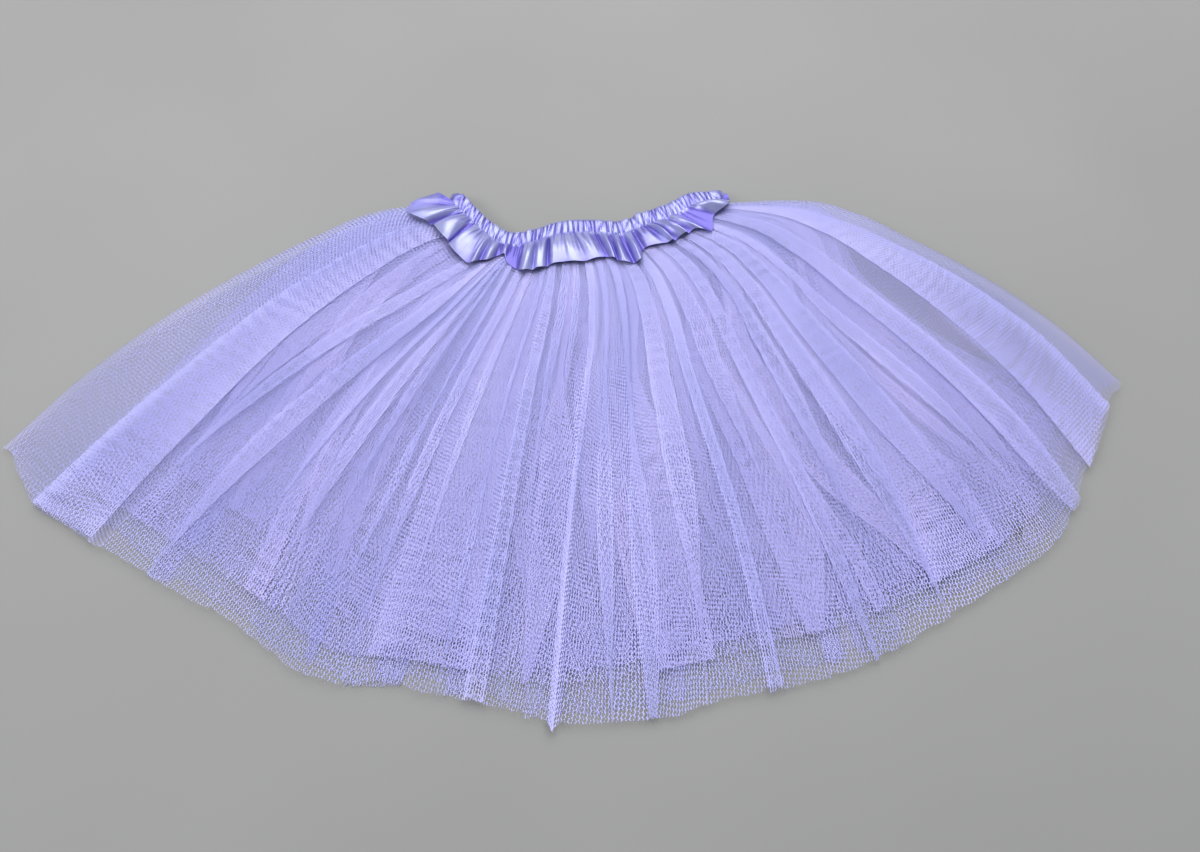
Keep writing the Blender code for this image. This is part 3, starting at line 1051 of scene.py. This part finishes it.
def casing(material):
    """The gathered band: satin folded over at its top edge and pinched at its lower one."""
    front = spread(-1.0, 1.0, CASING_COLUMNS)
    across, turn = round_tube(front, front)
    path, length = path_length(across, turn, seam_radius(across) - CASING_LENGTH / 2, CASING_SIDE)
    gathers = pillows(path, length, GATHER_PITCH, SEED + 40, GATHER_SLANT)
    fine = pillows(path, length, GATHER_PITCH / FINE_GATHERS, SEED + 41, FINE_SLANT)
    rows = []
    painted_shade = []
    for share, through, crown, gather in zip(*CASING_LOOP.values()):
        ridge = (gathers(share) - GATHER_MIDDLE) + FINE_STRENGTH * (fine(share) - GATHER_MIDDLE)
        proud = CROWN_HEIGHT * crown + GATHER_HEIGHT * gather * ridge
        proud = np.where(turn > math.pi / 2, np.minimum(proud, MOST_BEHIND), proud)
        uneven = TOP_UNEVEN * ridge * (1 - ease(share, 0.0, TOP_UNEVEN_ENDS)) * (1 - TOP_INSIDE * through)
        radius = seam_radius(across) - CASING_LENGTH * (1.0 - share) - uneven
        beyond = proud - CASING_THICKNESS * through
        x, y = in_plan(across, radius, 0.0, (CASING_SIDE + beyond) * np.sin(turn))
        z = mix(*CASING_HEIGHTS, upper_share(turn)) + beyond * np.cos(turn)
        rows.append(np.stack([x, y, np.maximum(z, LEAST_HEIGHT)], -1))
        # Painted shade in the gathers' creases, and darker all over next to the pinched lower edge at the
        # seam
        painted_crease_shade = 1.0 - ease(mix(gathers(share), fine(share), CREASE_FINE), *CREASE_PAINTED_SHADE_RANGE)
        painted_shade.append(mix(1.0, painted_crease_shade, min(gather + through, 1.0)))
    return satin_grid("satin_casing", np.array(rows), np.array(painted_shade), material, CASING_STRIP, True)


# The front ruffle's grid: its columns between two fold lines, its rows, and the length of its strip
FRILL_BETWEEN = 14
FRILL_ROWS = 26
FRILL_STRIP = 0.032

# How much its folds stand up, its height at the seam and clear of the tulle and where it comes down to
# it, how far it starts under the casing, how late its folds spread, and the tulle's length
FRILL_LIFT = 1.05
FRILL_SEAM_HEIGHT = 0.0101
FRILL_CLEAR = 0.0013
FRILL_DOWN_BY = 0.005
FRILL_UNDER = 0.0014
FRILL_SPREAD_POWER = 1.15
NET_LENGTH = 0.37

# Its gathers near the seam: their pitch as a share of the casing's, how far they go past its end, their
# slant, middle, height and fading, and the fine ones' height
FRILL_PITCH = 0.8
FRILL_SPARE = 0.01
FRILL_SLANT = 0.002
WRINKLE_MIDDLE = 0.5
WRINKLE_HEIGHT = 0.0016
WRINKLE_FADE = 2.2
FINE_WRINKLE_HEIGHT = 0.00035

# Painted shade: a fold's heights from its deepest painted shade to none and where that starts, then the
# same for the creases of its gathers, with their share and fading
FOLD_PAINTED_SHADE = (0.0006, 0.0036)
FOLD_PAINTED_SHADE_STARTS = 0.2
WRINKLE_PAINTED_SHADE = (0.2, 0.8)
WRINKLE_PAINTED_SHADE_SHARE = 0.8
WRINKLE_PAINTED_SHADE_FADE = 1.5


def smooth_rows(values, between_rows):
    """The table's column with points put between its rows, on a Catmull-Rom curve."""
    padded = np.concatenate([[2 * values[0] - values[1]], values, [2 * values[-1] - values[-2]]])
    out = []
    for i in range(len(values) - 1):
        p0, p1, p2, p3 = padded[i:i + 4]
        for n in range(between_rows):
            f = n / between_rows
            bend = 2 * p0 - 5 * p1 + 4 * p2 - p3 + f * (3 * (p1 - p2) + p3 - p0)
            out.append(p1 + 0.5 * f * (p2 - p0 + f * bend))
    out.append(values[-1])
    return np.array(out)


def frill(material):
    """The loose front ruffle: it lies on the tulle in uneven folds, fold line by fold line."""
    columns = {key: smooth_rows(FRILL[key], FRILL_BETWEEN) for key in FRILL}
    edge_deg = columns["edge_deg"]
    edge_height = np.maximum(columns["edge_height"], 0.0) * FRILL_LIFT
    middle_height = np.maximum(columns["middle_height"], 0.0) * FRILL_LIFT
    middle_deg = fan_angle(0.0, 0.0)
    across = (columns["seam_deg"] - middle_deg) / (fan_angle(1.0, 0.0) - middle_deg)
    seam = seam_radius(across)
    start_deg = np.degrees(np.radians(middle_deg) + across * half_angle(0.0, seam))
    edge = read(WAIST, "radius", edge_deg) + CASING_LENGTH + columns["length"]
    path = np.radians(start_deg - start_deg[0]) * seam
    gathers = pillows(path, path[-1] + FRILL_SPARE, GATHER_PITCH * FRILL_PITCH, SEED + 50, FRILL_SLANT)
    fine = Noise(SEED + 51, shortest=0.0025, longest=0.0070, waves=12).at(path)
    rows = []
    painted_shade = []
    for t in spread(0.0, 1.0, FRILL_ROWS):
        angle = mix(start_deg, edge_deg, t ** FRILL_SPREAD_POWER)
        radius = mix(seam - FRILL_UNDER, edge, t)
        down = np.clip((radius - seam) / NET_LENGTH, 0.0, 1.0)
        on_tulle = read(LOFT, "top", down) + FRILL_CLEAR
        rest = mix(FRILL_SEAM_HEIGHT, on_tulle, ease(columns["length"] * t, 0.0, FRILL_DOWN_BY))
        swell = middle_height * 4 * t * (1 - t) + edge_height * t * t
        wrinkle = WRINKLE_HEIGHT * (gathers(t) - WRINKLE_MIDDLE) * (1 - t) ** WRINKLE_FADE
        wrinkle = wrinkle + FINE_WRINKLE_HEIGHT * fine * (1 - t)
        x, y = polar(np.radians(angle), radius)
        rows.append(np.stack([x, y, rest + swell + wrinkle], -1))
        # Painted shade where the ruffle lies low between its folds and in its gathers' creases near the
        # seam
        fold = 1.0 - ease(mix(middle_height, edge_height, t), *FOLD_PAINTED_SHADE)
        painted_crease_shade = (1.0 - ease(gathers(t), *WRINKLE_PAINTED_SHADE)) * (1 - t) ** WRINKLE_PAINTED_SHADE_FADE
        depth = fold * ease(t, 0.0, FOLD_PAINTED_SHADE_STARTS) + WRINKLE_PAINTED_SHADE_SHARE * painted_crease_shade
        painted_shade.append(np.clip(depth, 0.0, 1.0))
    return satin_grid("satin_frill", np.array(rows), np.array(painted_shade), material, FRILL_STRIP, False)


# The ruffle behind: its turns round a side fold in degrees, its columns and rows, the step from column to
# column for its waves, the length of its strip and the painted shade over all of it
BEHIND_TURNS = spread(30.0, 180.0, 11)
BEHIND_COLUMNS = 260
BEHIND_ROWS = 9
BEHIND_STEP = 0.0011
BEHIND_STRIP = 0.018
BEHIND_PAINTED_SHADE = 0.8

# Its length and how uneven that is, how much shorter and higher up it is in the corners and where those
# start, its heights behind and in front, how far it stands out and fans out, and its ripples
BEHIND_LENGTH = 0.016
BEHIND_UNEVEN = 0.003
CORNER_SHORTER = 0.006
CORNER_HIGHER = 0.012
CORNER_STARTS = 0.9
BEHIND_HEIGHTS = (0.0003, 0.0100)
BEHIND_PROUD = 0.0010
BEHIND_PROUD_BY = 0.5
BEHIND_FAN_DOWN = 0.02
RIPPLE_HEIGHT = 0.0006
RIPPLE_SHARE = 0.35


def back_frill(material):
    """The ruffle's other half: round both side folds and under the tulle behind."""
    back = spread(1.0, -1.0, BEHIND_COLUMNS)
    ones = np.ones(len(BEHIND_TURNS))
    across = np.concatenate([ones, back, -ones])
    turn = np.radians(np.concatenate([BEHIND_TURNS, 180 + 0 * back, BEHIND_TURNS[::-1]]))
    wave = Noise(SEED + 60, shortest=0.012, longest=0.05, waves=10)
    wave = wave.at(np.arange(len(across)) * BEHIND_STEP)
    corner = ease(np.abs(across), CORNER_STARTS, 1.0)
    length = BEHIND_LENGTH - CORNER_SHORTER * corner + BEHIND_UNEVEN * wave
    rows = []
    for t in spread(0.0, 1.0, BEHIND_ROWS):
        below_seam = t * length - CORNER_HIGHER * corner
        down = np.clip(below_seam / NET_LENGTH, 0.0, BEHIND_FAN_DOWN)
        reach = (CASING_SIDE + BEHIND_PROUD * ease(t, 0.0, BEHIND_PROUD_BY)) * np.sin(turn)
        x, y = in_plan(across, seam_radius(across) + below_seam, down, reach)
        ripple = RIPPLE_HEIGHT * t * (1 + wave) * mix(RIPPLE_SHARE, 1.0, corner)
        rows.append(np.stack([x, y, mix(*BEHIND_HEIGHTS, upper_share(turn)) + ripple], -1))
    # The whole ruffle behind is painted as lying in shade
    painted_shade = np.full((len(rows), len(across)), BEHIND_PAINTED_SHADE)
    return satin_grid("satin_frill_back", np.array(rows), painted_shade, material, BEHIND_STRIP, False)


# The floor: its two pale greys, the scale and range of the clouds between them, and its height, just
# below the skirt
FLOOR_COLOURS = ((0.245, 0.245, 0.24, 1.0), (0.265, 0.265, 0.26, 1.0))
FLOOR_SCALE = 3.0
FLOOR_RANGE = (0.3, 0.7)
FLOOR_HEIGHT = -0.0004

# Two soft lights: where each hangs, how wide it is and how strong, in watts
LIGHTS = (
    ("overhead", (0.15, 0.85, 1.5), 2.0, 43.0),
    ("side", (-1.6, -0.2, 1.2), 0.8, 15.0),
)
SKY = (0.93, 0.95, 1.0, 1.0)
SKY_STRENGTH = 0.42


def add_floor():
    bpy.ops.mesh.primitive_plane_add(size=12.0, location=(0.0, 0.0, FLOOR_HEIGHT))
    floor = bpy.context.object
    floor.name = "floor"
    nodes = Nodes("floor")
    grain = nodes.remap(nodes.noise(nodes.place(), FLOOR_SCALE), *FLOOR_RANGE)
    nodes.set_shader(Base_Color=nodes.blend(grain, *FLOOR_COLOURS), Roughness=0.9)
    floor.data.materials.append(nodes.material)


def add_camera():
    data = bpy.data.cameras.new("camera")
    data.sensor_fit = "HORIZONTAL"
    data.sensor_width = 36.0
    data.lens = data.sensor_width / 2 / math.tan(math.radians(CAMERA_FIELD_DEG / 2))
    camera = bpy.data.objects.new("camera", data)
    camera.location = CAMERA_AT
    camera.rotation_euler = (math.radians(CAMERA_TILT_DEG), 0.0, 0.0)
    bpy.context.scene.collection.objects.link(camera)
    bpy.context.scene.camera = camera


def add_light(name, at, size, power):
    data = bpy.data.lights.new(name, "AREA")
    data.size = size
    data.energy = power
    light = bpy.data.objects.new(name, data)
    light.location = at
    light.rotation_euler = (-Vector(at)).to_track_quat("-Z", "Y").to_euler()
    bpy.context.scene.collection.objects.link(light)


def build_stage():
    add_floor()
    add_camera()
    world = bpy.data.worlds.new("studio")
    world.use_nodes = True
    world.node_tree.nodes["Background"].inputs["Color"].default_value = SKY
    world.node_tree.nodes["Background"].inputs["Strength"].default_value = SKY_STRENGTH
    bpy.context.scene.world = world
    for light in LIGHTS:
        add_light(*light)
    bpy.context.scene.view_settings.view_transform = "Standard"
    bpy.context.scene.cycles.transparent_max_bounces = 64
    bpy.context.scene.cycles.max_bounces = 4
    bpy.context.scene.cycles.diffuse_bounces = 2


def dress(piece, slot, *nodes):
    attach(piece, BODY)
    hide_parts(*nodes)


def build_nets():
    """The three layers of net, each with its own folds in front and behind."""
    lilac = net_material("net_outer", *LILAC_NET)
    pinker = net_material("net_inner", *PINKER_NET)
    folds = [
        with_small_pleats(PLEATS, pitch=0.050, half=0.007, height=0.0006, seed=SEED),
        with_broad_folds(seeded_pleats(pitch=0.085, half=0.030, height=0.0005, seed=SEED + 3), BROAD_FOLDS),
        seeded_pleats(pitch=0.095, half=0.034, height=0.0004, seed=SEED + 6),
    ]
    behind = [
        seeded_pleats(pitch=0.08, half=0.014, height=0.0, seed=SEED + 1, reach=(-0.88, 0.76)),
        seeded_pleats(pitch=0.08, half=0.018, height=0.0, seed=SEED + 4),
        seeded_pleats(pitch=0.09, half=0.020, height=0.0, seed=SEED + 7),
    ]
    layers = zip(("outer", "middle", "inner"), folds, behind, (lilac, pinker, pinker))
    return [net_layer(depth, *layer, SEED + 2 + 3 * depth) for depth, layer in enumerate(layers)]


def main():
    build_stage()
    outer, middle, inner = build_nets()
    satin = satin_material("satin")
    band = casing(satin)
    front = frill(satin)
    behind = back_frill(satin)
    dress(outer, "tulle", "tulle_outer")
    dress(middle, "tulle", "tulle_middle")
    dress(inner, "tulle", "tulle_inner")
    dress(band, "satin", "waist_casing")
    dress(front, "satin", "waist_frill")
    dress(behind, "satin", "waist_frill")


main()
